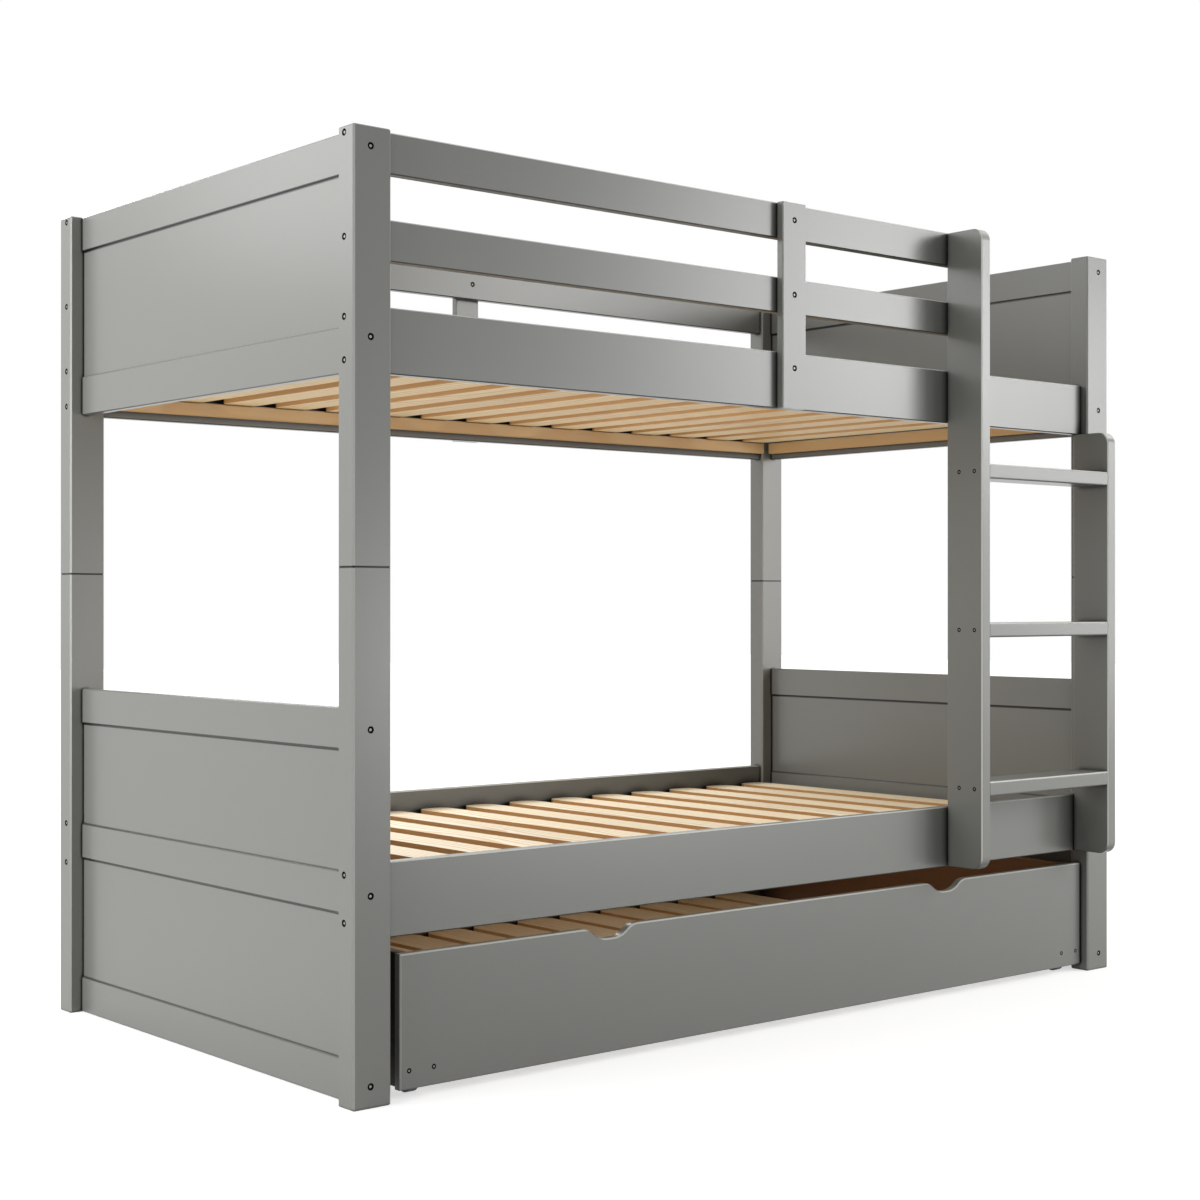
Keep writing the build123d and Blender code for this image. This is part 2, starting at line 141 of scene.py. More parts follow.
lipShadowAndJoint, lipIn, lipOut = startGroup(
    "lipShadowAndJoint",
    [("Height", "NodeSocketFloat", 0.0), ("Lip", "NodeSocketFloat", 0.0),
     ("Reach", "NodeSocketFloat", 0.002)],
    [("Shadow", "NodeSocketFloat")],
)
tree = lipShadowAndJoint
away = mathNode(tree, "SUBTRACT", lipIn["Height"], lipIn["Lip"], place=(-900, 0))
away = mathNode(tree, "ABSOLUTE", away, place=(-700, 0))
away = mathNode(tree, "DIVIDE", away, lipIn["Reach"], place=(-500, 0))
lipLine = {"reach": 0.0036, "endReach": 0.005, "jointReach": 0.0024, "fullShare": 0.6}
joinSockets(tree, (softStep(tree, away, 1.0, lipLine["fullShare"], (-300, 0)), lipOut["Shadow"]))
lipHeights = sorted({round(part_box(name)[0].z, 4) for name in bedNodes
                     if name.endswith(("end_left_top_rail", "end_left_middle_rail"))})
# the lines along the rail tops below the panels, where the panels meet the posts, and at the post joint are
# dark joints
ledgeLine = {"reach": 0.0026, "strength": 0.6}
ledgeHeights = [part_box(name)[1].z for name in ("lower_end_left_middle_rail", "lower_end_left_bottom_rail")]
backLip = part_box("upper_end_left_top_rail")[1].y
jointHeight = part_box("upper_post_front_left")[0].z
# each drawn line: the axis it is measured along, its place, its reach and its strength
panelLines = [(2, lip, lipLine["reach"], 1.0) for lip in lipHeights]
panelLines += [(2, ledge, ledgeLine["reach"], ledgeLine["strength"]) for ledge in ledgeHeights]
panelLines.append((1, backLip, lipLine["endReach"], 1.0))
drawnLines = {"end_rail_paint": panelLines, "end_panel_paint": panelLines,
              "post_paint": [(2, jointHeight, lipLine["jointReach"], 1.0)]}


def drawLine(tree, seamShade, measure, line, row):
    # adds one dark line to the painted seam shade that is there already; lip lines are painted shadow, the
    # other lines dark joints
    shadow = placeGroup(tree, lipShadowAndJoint, {"Lip": line[1], "Reach": line[2]}, (-800, 500 + 200 * row))
    joinSockets(tree, (measure.outputs[line[0]], shadow.inputs["Height"]))
    faint = mathNode(tree, "MULTIPLY", shadow.outputs["Shadow"], line[3], place=(-600, 500 + 200 * row))
    return mathNode(tree, "MAXIMUM", seamShade, faint, place=(-400, 500 + 200 * row))


def joinFinish(tree, shader, film, colour, strength, depth):
    # a finish's colour, roughness and relief go to the shader
    bump = addNode(tree, "ShaderNodeBump", (-200, -300))
    bump.inputs["Strength"].default_value = strength
    bump.inputs["Distance"].default_value = depth
    joinSockets(tree, (colour, shader.inputs["Base Color"]),
                (film.outputs["Roughness"], shader.inputs["Roughness"]),
                (film.outputs["Height"], bump.inputs["Height"]), (bump.outputs[0], shader.inputs["Normal"]))


# Sprayed paint: a soft mottle, a trace of the wood under it, and fine spray texture; painted shade at seams
# and on undersides, a painted highlight on edges

sprayedPaint, paintIn, paintOut = startGroup(
    "sprayedPaint",
    [("Place", "NodeSocketVector", None), ("Along", "NodeSocketVector", None),
     ("Colour", "NodeSocketColor", (0.25, 0.25, 0.24, 1)), ("Mottle", "NodeSocketFloat", 0.03),
     ("Grain", "NodeSocketFloat", 0.02), ("Gloss", "NodeSocketFloat", 0.36),
     ("Seam", "NodeSocketFloat", 0.0), ("Edge", "NodeSocketFloat", 0.0), ("Under", "NodeSocketFloat", 0.0),
     ("Seam depth", "NodeSocketFloat", 0.8), ("Edge light", "NodeSocketFloat", 0.25),
     ("Under shade", "NodeSocketFloat", 0.0)],
    [("Colour", "NodeSocketColor"), ("Roughness", "NodeSocketFloat"), ("Height", "NodeSocketFloat")],
)
tree = sprayedPaint
sprayLook = {"mottle": {"Scale": 3.0, "Detail": 0.0},
             "fibres": {"Scale": 1.0, "Detail": 4.0, "Roughness": 0.6},
             "spray": {"Scale": 160.0, "Detail": 1.0}, "speck": 0.02, "roughTrace": 0.01, "traceRelief": 0.1}
mottle, fibres, spray = (addNode(tree, "ShaderNodeTexNoise", (-900, height)) for height in (300, 50, -250))
for node, layer in ((mottle, "mottle"), (fibres, "fibres"), (spray, "spray")):
    for label, value in sprayLook[layer].items():
        node.inputs[label].default_value = value
joinSockets(tree, (paintIn["Place"], mottle.inputs["Vector"]), (paintIn["Along"], fibres.inputs["Vector"]),
            (paintIn["Place"], spray.inputs["Vector"]))
cloud = mathNode(tree, "SUBTRACT", mottle.outputs[0], 0.5, place=(-700, 300))
trace = mathNode(tree, "SUBTRACT", fibres.outputs[0], 0.5, place=(-700, 50))
shift = mathNode(tree, "MULTIPLY", cloud, paintIn["Mottle"], place=(-500, 300))
shift = mathNode(tree, "MULTIPLY_ADD", trace, paintIn["Grain"], shift, place=(-300, 200))
shift = mathNode(tree, "MULTIPLY_ADD", shift, 2.0, 1.0, place=(-100, 200))
# lighter along edges: painted highlight
edgeHighlight = mathNode(tree, "MULTIPLY_ADD", paintIn["Edge"], paintIn["Edge light"], 1.0, place=(-300, 450))
shift = mathNode(tree, "MULTIPLY", shift, edgeHighlight, place=(-50, 350))
# darker where the seam mask is: painted shade at seams and in corners
shade = mathNode(tree, "MULTIPLY", paintIn["Seam"], paintIn["Seam depth"], place=(-300, 600))
shade = mathNode(tree, "SUBTRACT", 1.0, shade, place=(-100, 600))
shift = mathNode(tree, "MULTIPLY", shift, shade, place=(50, 400))
# faces that look down are darker: painted shade
downShade = mathNode(tree, "MULTIPLY", paintIn["Under"], paintIn["Under shade"], place=(-300, 750))
downShadeLoss = mathNode(tree, "MULTIPLY", shift, downShade, place=(-100, 750))
shift = mathNode(tree, "SUBTRACT", shift, downShadeLoss, place=(120, 500))
speck = mathNode(tree, "SUBTRACT", spray.outputs[0], 0.5, place=(-300, 900))
shift = mathNode(tree, "MULTIPLY_ADD", speck, sprayLook["speck"], shift, place=(130, 650))
tinted = addNode(tree, "ShaderNodeVectorMath", (150, 250), operation="SCALE")
rough = mathNode(tree, "MULTIPLY_ADD", trace, sprayLook["roughTrace"], paintIn["Gloss"], place=(150, 0))
relief = mathNode(tree, "MULTIPLY_ADD", trace, sprayLook["traceRelief"], spray.outputs[0], place=(150, -200))
joinSockets(tree, (paintIn["Colour"], tinted.inputs[0]), (shift, tinted.inputs["Scale"]),
            (tinted.outputs[0], paintOut["Colour"]), (rough, paintOut["Roughness"]),
            (relief, paintOut["Height"]))


# Pine: growth rings cut lengthwise, fibres, a few small knots, and each slat its own tone; painted shade on
# faces that look along the bed and near seams

pineGrain, pineIn, pineOut = startGroup(
    "pineGrain",
    [("Along", "NodeSocketVector", None), ("Row", "NodeSocketFloat", 0.0),
     ("Early wood", "NodeSocketColor", (0.8, 0.6, 0.4, 1)),
     ("Late wood", "NodeSocketColor", (0.6, 0.4, 0.2, 1)),
     ("Ring width", "NodeSocketFloat", 0.006), ("Figure", "NodeSocketFloat", 0.5),
     ("Tone spread", "NodeSocketFloat", 0.1), ("Knots", "NodeSocketFloat", 0.5),
     ("Side shade", "NodeSocketFloat", 0.0), ("Side shade colour", "NodeSocketColor", (0.5, 0.3, 0.15, 1)),
     ("Seam", "NodeSocketFloat", 0.0), ("Seam depth", "NodeSocketFloat", 0.7),
     ("Across", "NodeSocketFloat", 0.0)],
    [("Colour", "NodeSocketColor"), ("Roughness", "NodeSocketFloat"), ("Height", "NodeSocketFloat")],
)
tree = pineGrain
# ring steps are shares of a ring's width, spreads and sway are metres, the squeeze is along, across and down
grainLook = {"shuffle": 9.0, "wander": 1.6, "sway": 0.06, "sideSpread": 0.08, "depthSpread": 0.05,
             "depthReach": 0.06, "rise": (0.25, 0.85), "fall": (0.88, 1.0), "squeeze": (6, 260, 260),
             "fibreShare": 0.35, "knotCells": 5.0, "knotCore": (0.045, 0.02), "knotPick": (0.70, 0.72),
             "roughness": 0.58, "lateShine": -0.08, "fibreRelief": 0.6}
rowNumber = mathNode(tree, "ROUND", pineIn["Row"], place=(-1000, -400))
rowDice = addNode(tree, "ShaderNodeTexWhiteNoise", (-850, -400), noise_dimensions="1D")
slide = addNode(tree, "ShaderNodeVectorMath", (-700, -400), operation="SCALE")
slide.inputs["Scale"].default_value = grainLook["shuffle"]
moved = addNode(tree, "ShaderNodeVectorMath", (-550, -300), operation="ADD")
joinSockets(tree, (rowNumber, rowDice.inputs["W"]), (rowDice.outputs["Color"], slide.inputs[0]),
            (pineIn["Along"], moved.inputs[0]), (slide.outputs[0], moved.inputs[1]))
# the stem wanders slowly along the plank, which draws the long arches of the rings
wander = addNode(tree, "ShaderNodeTexNoise", (-400, -500))
wander.inputs["Scale"].default_value = grainLook["wander"]
wander.inputs["Detail"].default_value = 2.0
joinSockets(tree, (moved.outputs[0], wander.inputs["Vector"]))
parts = addNode(tree, "ShaderNodeSeparateXYZ", (-400, 200))
dice = addNode(tree, "ShaderNodeSeparateXYZ", (-400, 0))
joinSockets(tree, (pineIn["Along"], parts.inputs[0]), (rowDice.outputs["Color"], dice.inputs[0]))
sway = mathNode(tree, "MULTIPLY", wander.outputs[0], grainLook["sway"], place=(-200, -500))
sideways = mathNode(tree, "MULTIPLY_ADD", dice.outputs[0], grainLook["sideSpread"], pineIn["Across"],
                    place=(-200, 200))
sideways = mathNode(tree, "ADD", sideways, sway, place=(-50, 200))
level = mathNode(tree, "PINGPONG", parts.outputs[2], grainLook["depthReach"], place=(-300, 0))
depth = mathNode(tree, "MULTIPLY_ADD", dice.outputs[1], grainLook["depthSpread"], level, place=(-200, 0))
depth = mathNode(tree, "ADD", depth, sway, place=(-50, 0))
reach = mathNode(tree, "MULTIPLY", sideways, sideways, place=(100, 200))
reach = mathNode(tree, "MULTIPLY_ADD", depth, depth, reach, place=(100, 50))
reach = mathNode(tree, "SQRT", reach, place=(200, 50))
rings = mathNode(tree, "DIVIDE", reach, pineIn["Ring width"], place=(300, 50))
rings = mathNode(tree, "FRACT", rings, place=(400, 50))
# a ring darkens slowly towards its late wood, then ends sharply
rise = softStep(tree, rings, *grainLook["rise"], (500, 100))
fall = softStep(tree, rings, *grainLook["fall"], (500, -100))
late = mathNode(tree, "SUBTRACT", rise, fall, place=(650, 50), clamp=True)
fine = addNode(tree, "ShaderNodeTexNoise", (-400, -750))
fine.inputs["Scale"].default_value = 1.0
fine.inputs["Detail"].default_value = 3.0
squeeze = addNode(tree, "ShaderNodeVectorMath", (-550, -750), operation="MULTIPLY")
squeeze.inputs[1].default_value = grainLook["squeeze"]
joinSockets(tree, (moved.outputs[0], squeeze.inputs[0]), (squeeze.outputs[0], fine.inputs["Vector"]))
fibre = mathNode(tree, "SUBTRACT", fine.outputs[0], 0.5, place=(-200, -750))
knotCells = addNode(tree, "ShaderNodeTexVoronoi", (-400, -1000), voronoi_dimensions="2D")
knotCells.inputs["Scale"].default_value = grainLook["knotCells"]
joinSockets(tree, (moved.outputs[0], knotCells.inputs["Vector"]))
knotDice = addNode(tree, "ShaderNodeSeparateXYZ", (-200, -1000))
joinSockets(tree, (knotCells.outputs["Color"], knotDice.inputs[0]))
knotCore = softStep(tree, knotCells.outputs["Distance"], *grainLook["knotCore"], (-200, -1150))
knotPick = softStep(tree, knotDice.outputs[0], *grainLook["knotPick"], (0, -1000))
knot = mathNode(tree, "MULTIPLY", knotCore, knotPick, place=(150, -1000))
knot = mathNode(tree, "MULTIPLY", knot, pineIn["Knots"], place=(300, -1000))
amount = mathNode(tree, "MULTIPLY", late, pineIn["Figure"], place=(650, -150))
amount = mathNode(tree, "MULTIPLY_ADD", fibre, grainLook["fibreShare"], amount, place=(650, -300))
amount = mathNode(tree, "ADD", amount, knot, place=(650, -450), clamp=True)
woodMix = addNode(tree, "ShaderNodeMix", (700, -600), data_type="RGBA")
joinSockets(tree, (amount, woodMix.inputs["Factor"]), (pineIn["Early wood"], woodMix.inputs["A"]),
            (pineIn["Late wood"], woodMix.inputs["B"]))
tone = mathNode(tree, "SUBTRACT", dice.outputs[2], 0.5, place=(500, -600))
tone = mathNode(tree, "MULTIPLY_ADD", tone, pineIn["Tone spread"], 1.0, place=(600, -700))
# faces that look along the bed mix towards a darker colour: painted shade
sideShadeMix = addNode(tree, "ShaderNodeMix", (850, -500), data_type="RGBA")
joinSockets(tree, (pineIn["Side shade"], sideShadeMix.inputs["Factor"]),
            (woodMix.outputs["Result"], sideShadeMix.inputs["A"]), (pineIn["Side shade colour"], sideShadeMix.inputs["B"]))
# darker where the seam mask is: painted shade near seams and in corners
corner = mathNode(tree, "MULTIPLY", pineIn["Seam"], pineIn["Seam depth"], place=(500, -950))
corner = mathNode(tree, "SUBTRACT", 1.0, corner, place=(600, -950))
tone = mathNode(tree, "MULTIPLY", tone, corner, place=(720, -900))
toned = addNode(tree, "ShaderNodeVectorMath", (750, -750), operation="SCALE")
gloss = mathNode(tree, "MULTIPLY_ADD", late, grainLook["lateShine"], grainLook["roughness"], place=(700, 300))
bumps = mathNode(tree, "MULTIPLY_ADD", fibre, grainLook["fibreRelief"], late, place=(700, 450))
joinSockets(tree, (sideShadeMix.outputs["Result"], toned.inputs[0]), (tone, toned.inputs["Scale"]),
            (toned.outputs[0], pineOut["Colour"]), (gloss, pineOut["Roughness"]), (bumps, pineOut["Height"]))
print("shared finishes built")


# Painted pieces: which way the wood runs, the colour on screen, and how much shows through

greyPaint = {"colour": (112, 113, 109), "mottle": 0.006, "grain": 0.002, "gloss": 0.28, "relief": 0.05,
             "seamShade": 0.95, "seamShadeReach": 0.009, "edge": 4.0, "underShade": 0.65, "along": 2.0, "across": 70.0,
             "bumpDepth": 0.0001}
# facing limits, as parts of the normal: down for the painted shade on undersides, up and to the left, then to
# the front, for the painted edge highlight
facingLimits = {"down": (-0.15, -0.6), "upLeft": (0.2, 0.45), "frontOnly": (-0.85, -0.95),
                "front": (-0.2, -0.5)}
paintedPieces = {
    "post_paint": {"long": "Z", "edge": 0.6},
    "guard_post_paint": {"long": "Z", "edge": 0.5},
    "stile_paint": {"long": "Z", "edge": 2.5, "seamShadeReach": 0.018},
    "rail_paint": {"long": "X", "edge": 3.0, "seamShadeReach": 0.04, "underShade": 0.82},
    "tread_paint": {"long": "X", "edge": 3.0, "seamShadeReach": 0.014},
    "trundle_front_paint": {"long": "X", "edge": 2.0},
    "end_rail_paint": {"long": "Y"},
    "end_panel_paint": {"long": "Y"},
}
finishes = {}
for slotName, own in paintedPieces.items():
    look = {**greyPaint, **own}
    material, tree, shader = startMaterial("grey " + slotName.replace("_", " "))
    spot = addNode(tree, "ShaderNodeTexCoord", (-1100, 0))
    stretch = addNode(tree, "ShaderNodeMapping", (-900, -150))
    scales = [look["along" if axis == look["long"] else "across"] for axis in "XYZ"]
    stretch.inputs["Scale"].default_value = scales
    film = placeGroup(tree, sprayedPaint, {
        "Colour": linearColour(*look["colour"]), "Mottle": look["mottle"], "Grain": look["grain"],
        "Gloss": look["gloss"], "Seam depth": look["seamShade"], "Edge light": look["edge"],
        "Under shade": look["underShade"]})
    # faces and eased edges that look down are painted darker: painted shade
    facing = addNode(tree, "ShaderNodeNewGeometry", (-1300, -500))
    downwards = addNode(tree, "ShaderNodeSeparateXYZ", (-1100, -500))
    downFacing = softStep(tree, downwards.outputs[2], *facingLimits["down"], (-900, -500))
    joinSockets(tree, (facing.outputs["True Normal"], downwards.inputs[0]), (downFacing, film.inputs["Under"]))
    lines = placeGroup(tree, seamShadeAndEdgeLight, {"Seam reach": look["seamShadeReach"]}, (-800, 300))
    seamShade = lines.outputs["Seam"]
    if slotName in drawnLines:
        measure = addNode(tree, "ShaderNodeSeparateXYZ", (-1000, 600))
        joinSockets(tree, (spot.outputs["Object"], measure.inputs[0]))
        for row, line in enumerate(drawnLines[slotName]):
            seamShade = drawLine(tree, seamShade, measure, line, row)
    # the eased edges between a front face and a top or left face get a painted highlight, where light would
    # catch them
    catching = addNode(tree, "ShaderNodeVectorMath", (-1100, -700), operation="DOT_PRODUCT")
    catching.inputs[1].default_value = (-0.7, 0, 0.7)
    joinSockets(tree, (facing.outputs["True Normal"], catching.inputs[0]))
    caught = softStep(tree, catching.outputs["Value"], *facingLimits["upLeft"], (-900, -700))
    frontOnly = softStep(tree, downwards.outputs[1], *facingLimits["frontOnly"], (-900, -900))
    front = softStep(tree, downwards.outputs[1], *facingLimits["front"], (-900, -1100))
    slanting = mathNode(tree, "MULTIPLY_ADD", frontOnly, -1.0, front, place=(-700, -900), clamp=True)
    rim = mathNode(tree, "MULTIPLY", caught, slanting, place=(-500, -700))
    joinSockets(tree, (seamShade, film.inputs["Seam"]), (rim, film.inputs["Edge"]))
    joinSockets(tree, (spot.outputs["Object"], stretch.inputs["Vector"]),
                (spot.outputs["Object"], film.inputs["Place"]), (stretch.outputs[0], film.inputs["Along"]))
    joinFinish(tree, shader, film, film.outputs["Colour"], look["relief"], look["bumpDepth"])
    finishes[slotName] = material


# Bare pine: which way it runs, the distance between repeated pieces, and its two tones

# the edge colour is for faces that look along the bed, painted shade; the seam values and the underside tint
# set painted shade too
barePine = {"early": (251, 240, 212), "late": (210, 168, 112), "ring": 0.009, "figure": 0.8,
            "spread": 0.12, "knots": 0.5, "relief": 0.15, "rowStep": 0.1255, "rowAxis": "X",
            "edge": (196, 146, 88), "seamShade": 0.6, "seamShadeReach": 0.045, "underShadeTint": (240, 229, 207),
            "bumpDepth": 0.0006}
# the part of the normal that points down where a face starts to be an underside, and where it fully is one
undersideLimits = (-0.5, -0.9)
pinePieces = {
    "slat_pine": {"turn": (0, 0, -90), "late": (224, 184, 128)},
    "trundle_slat_pine": {"turn": (0, 0, -90), "rowStep": 0.126, "early": (255, 246, 220),
                          "late": (240, 214, 168), "edge": (222, 184, 130), "figure": 0.6, "seamShade": 0.0},
    "bearer_pine": {"turn": (-90, 0, 0), "rowAxis": "Y", "rowStep": 0.951, "early": (212, 178, 132),
                    "late": (188, 146, 96), "edge": (204, 166, 116), "figure": 0.4, "seamShade": 0.5,
                    "seamShadeReach": 0.006},
    "trundle_board_pine": {"turn": (-90, 0, 0), "rowAxis": "Z", "rowStep": 4.0, "early": (200, 156, 108),
                           "late": (160, 114, 70), "edge": (150, 106, 64), "seamShade": 0.93, "seamShadeReach": 0.12,
                           "figure": 0.6},
    "trundle_side_pine": {"turn": (0, 0, -90), "rowAxis": "Z", "rowStep": 4.0, "early": (200, 156, 108),
                          "late": (160, 114, 70), "edge": (122, 83, 46), "seamShade": 0.92, "seamShadeReach": 0.11,
                          "figure": 0.6},
}
# the side boards of the trundle are of the same wood as its back, with the grain running front to back; their
# big faces look along the bed, so they take the darker side colour, painted shade
ownFinish = {"trundle_side_left": "trundle_side_pine", "trundle_side_right": "trundle_side_pine"}
for slotName, own in pinePieces.items():
    look = {**barePine, **own}
    material, tree, shader = startMaterial("bare " + slotName.replace("_", " "))
    spot = addNode(tree, "ShaderNodeTexCoord", (-1200, 0))
    turn = addNode(tree, "ShaderNodeMapping", (-1000, -150))
    turn.inputs["Rotation"].default_value = [math.radians(angle) for angle in look["turn"]]
    axes = addNode(tree, "ShaderNodeSeparateXYZ", (-1000, 200))
    wood = placeGroup(tree, pineGrain, {
        "Early wood": linearColour(*look["early"]), "Late wood": linearColour(*look["late"]),
        "Ring width": look["ring"], "Figure": look["figure"], "Tone spread": look["spread"],
        "Knots": look["knots"], "Side shade colour": linearColour(*look["edge"]), "Seam depth": look["seamShade"]})
    lines = placeGroup(tree, seamShadeAndEdgeLight, {"Seam reach": look["seamShadeReach"]}, (-800, 500))
    joinSockets(tree, (lines.outputs["Seam"], wood.inputs["Seam"]))
    # faces that look along the bed, such as the narrow sides of the slats, are browner: painted shade
    facing = addNode(tree, "ShaderNodeNewGeometry", (-1000, -500))
    sides = addNode(tree, "ShaderNodeSeparateXYZ", (-800, -500))
    sideShade = mathNode(tree, "ABSOLUTE", sides.outputs[0], place=(-650, -500))
    joinSockets(tree, (facing.outputs["True Normal"], sides.inputs[0]), (sideShade, wood.inputs["Side shade"]))
    # undersides are darker and warmer: painted shade
    underShadeMix = addNode(tree, "ShaderNodeMix", (-200, 200), data_type="RGBA", blend_type="MULTIPLY")
    underShadeMix.inputs["B"].default_value = linearColour(*look["underShadeTint"])
    underShade = softStep(tree, sides.outputs[2], *undersideLimits, (-650, -700))
    joinSockets(tree, (underShade, underShadeMix.inputs["Factor"]), (wood.outputs["Colour"], underShadeMix.inputs["A"]),
                (spot.outputs["Object"], turn.inputs["Vector"]), (spot.outputs["Object"], axes.inputs[0]))
    alongRow = axes.outputs["XYZ".index(look["rowAxis"])]
    row = mathNode(tree, "DIVIDE", alongRow, look["rowStep"], place=(-800, 200))
    nearest = mathNode(tree, "ROUND", row, place=(-700, 50))
    across = mathNode(tree, "SUBTRACT", row, nearest, place=(-600, 50))
    across = mathNode(tree, "MULTIPLY", across, look["rowStep"], place=(-500, 50))
    joinSockets(tree, (across, wood.inputs["Across"]), (turn.outputs[0], wood.inputs["Along"]),
                (row, wood.inputs["Row"]))
    joinFinish(tree, shader, wood, underShadeMix.outputs["Result"], look["relief"], look["bumpDepth"])
    finishes[slotName] = material


# Small parts: zinc-plated steel, beech dowels and black roller plastic

darkSteel = {"colour": (62, 60, 57), "metal": 0.6, "gloss": 0.4, "grainSize": 900, "mottle": 0.12,
             "grain": 0.05, "seamShade": 0.6, "seamShadeReach": 0.005, "relief": 0.1, "bumpDepth": 0.0003}
smallParts = {
    "bolt_steel": {},
    "guard_bolt_steel": {},
    "screw_steel": {"gloss": 0.42},
    "axle_steel": {"colour": (150, 150, 148), "metal": 1.0, "gloss": 0.3, "grainSize": 600},
    "dowel_beech": {"colour": (205, 168, 125), "metal": 0.0, "gloss": 0.6, "grainSize": 300},
    "wheel_plastic": {"colour": (38, 38, 40), "metal": 0.0, "gloss": 0.5, "grainSize": 350},
}
for slotName, own in smallParts.items():
    look = {**darkSteel, **own}
    material, tree, shader = startMaterial(slotName.replace("_", " "))
    spot = addNode(tree, "ShaderNodeTexCoord", (-1100, 0))
    film = placeGroup(tree, sprayedPaint, {
        "Colour": linearColour(*look["colour"]), "Mottle": look["mottle"], "Grain": look["grain"],
        "Gloss": look["gloss"], "Seam depth": look["seamShade"]})
    lines = placeGroup(tree, seamShadeAndEdgeLight, {"Seam reach": look["seamShadeReach"]}, (-800, 300))
    stretch = addNode(tree, "ShaderNodeMapping", (-900, -150))
    stretch.inputs["Scale"].default_value = [look["grainSize"]] * 3
    shader.inputs["Metallic"].default_value = look["metal"]
    joinSockets(tree, (lines.outputs["Seam"], film.inputs["Seam"]),
                (lines.outputs["Edge"], film.inputs["Edge"]),
                (spot.outputs["Object"], stretch.inputs["Vector"]),
                (spot.outputs["Object"], film.inputs["Place"]), (stretch.outputs[0], film.inputs["Along"]))
    joinFinish(tree, shader, film, film.outputs["Colour"], look["relief"], look["bumpDepth"])
    finishes[slotName] = material

for nodeName, piece in bedNodes.items():
    for holder in piece.material_slots:
        holder.material = finishes[ownFinish.get(nodeName, slotOfNode[nodeName])]
print("finishes on", len(bedNodes), "pieces")


# Bolt faces: a dished collar, near black with painted shade, round a bright driver recess, one on every bolt
# and screw

boltFaces = {
    "end_bolts": {"axis": 1, "radius": 0.0059, "sunk": 0.001, "body": "bed", "slot": "bolt_steel"},
    "side_bolts": {"axis": 0, "radius": 0.0059, "sunk": 0.001, "body": "bed", "slot": "bolt_steel"},
    "guard_bolts": {"axis": 1, "radius": 0.0059, "sunk": 0.001, "head": -1, "body": "bed",
                    "slot": "guard_bolt_steel"},
    "ladder_screws": {"axis": 0, "radius": 0.0044, "sunk": 0.0003, "body": "bed", "slot": "screw_steel"},
    "trundle_screws": {"axis": 1, "radius": 0.0044, "sunk": 0.0003, "head": -1, "body": "trundle",
                       "slot": "screw_steel"},
}
# share of the radius, and share of the sunk depth, from the middle out over the collar and down its rim
faceProfile = {"across": (0.34, 0.46, 0.52, 0.70, 0.88, 1.0, 1.0),
               "down": (0.75, 0.72, 0.50, 0.25, 0.25, 0.55, 0.97)}
faceSegments = 24


def seatsOf(nodeName, axis, head):
    # welds the node's triangles and spreads the lowest vertex number over each bolt until nothing changes;
    # without a given side, the head is the end away from the middle of all the bolts
    mesh = bedNodes[nodeName].data
    points = np.empty(len(mesh.vertices) * 3)
    mesh.vertices.foreach_get("co", points)
    corners = np.empty(len(mesh.loops), dtype=int)
    mesh.loops.foreach_get("vertex_index", corners)
    welded, which = np.unique(np.round(points.reshape(-1, 3), 5), axis=0, return_inverse=True)
    triangles = which.ravel()[corners].reshape(-1, 3)
    label = np.arange(len(welded))
    while True:
        lowest = label.copy()
        np.minimum.at(lowest, triangles.ravel(), np.repeat(label[triangles].min(axis=1), 3))
        lowest = lowest[lowest]
        if (lowest == label).all():
            break
        label = lowest
    seats = []
    centre = (welded[:, axis].min() + welded[:, axis].max()) / 2
    for bolt in np.unique(label):
        own = welded[label == bolt]
        low, high = own.min(axis=0), own.max(axis=0)
        middle = (low + high) / 2
        outward = head if head else (1 if middle[axis] > centre else -1)
        middle[axis] = high[axis] if outward > 0 else low[axis]
        seats.append((middle, outward))
    return seats


def turnedFaces(seats, look):
    # profile turned about the bolt: middle + share * radius * (cos, sin) + outward * (1 - drop) * sunk
    across, down = np.array(faceProfile["across"]), np.array(faceProfile["down"])
    angle = np.linspace(0, 2 * np.pi, faceSegments, endpoint=False)
    rings = len(across)
    blocks = []
    for middle, outward in seats:
        first, second = np.eye(3)[(look["axis"] + 1) % 3], np.eye(3)[(look["axis"] + 2) % 3]
        if outward < 0:
            first, second = second, first
        out = np.eye(3)[look["axis"]] * outward
        spokes = np.cos(angle)[:, None] * first + np.sin(angle)[:, None] * second
        block = middle + look["radius"] * across[:, None, None] * spokes
        block = block + (look["sunk"] * (1 - down))[:, None, None] * out
        poles = middle + look["sunk"] * np.array([[1 - down[0]], [1 - down[-1]]]) * out
        blocks.append(np.concatenate([block.reshape(-1, 3), poles]))
    ring, step = np.meshgrid(np.arange(rings - 1), np.arange(faceSegments), indexing="ij")
    after = (step + 1) % faceSegments
    quads = np.stack([ring * faceSegments + step, (ring + 1) * faceSegments + step,
                      (ring + 1) * faceSegments + after, ring * faceSegments + after], axis=-1).reshape(-1, 4)
    turn = np.arange(faceSegments)
    onward = (turn + 1) % faceSegments
    last = (rings - 1) * faceSegments
    top = np.stack([np.full(faceSegments, rings * faceSegments), turn, onward], axis=-1)
    bottom = np.stack([np.full(faceSegments, rings * faceSegments + 1), last + onward, last + turn], axis=-1)
    size = rings * faceSegments + 2
    faces = []
    for number in range(len(seats)):
        for part in (quads, top, bottom):
            faces += (part + number * size).tolist()
    share = np.concatenate([np.repeat(across, faceSegments), [0.0, 1.0]])
    return np.concatenate(blocks), faces, np.tile(share, len(seats))


material, tree, shader = startMaterial("bolt face steel")
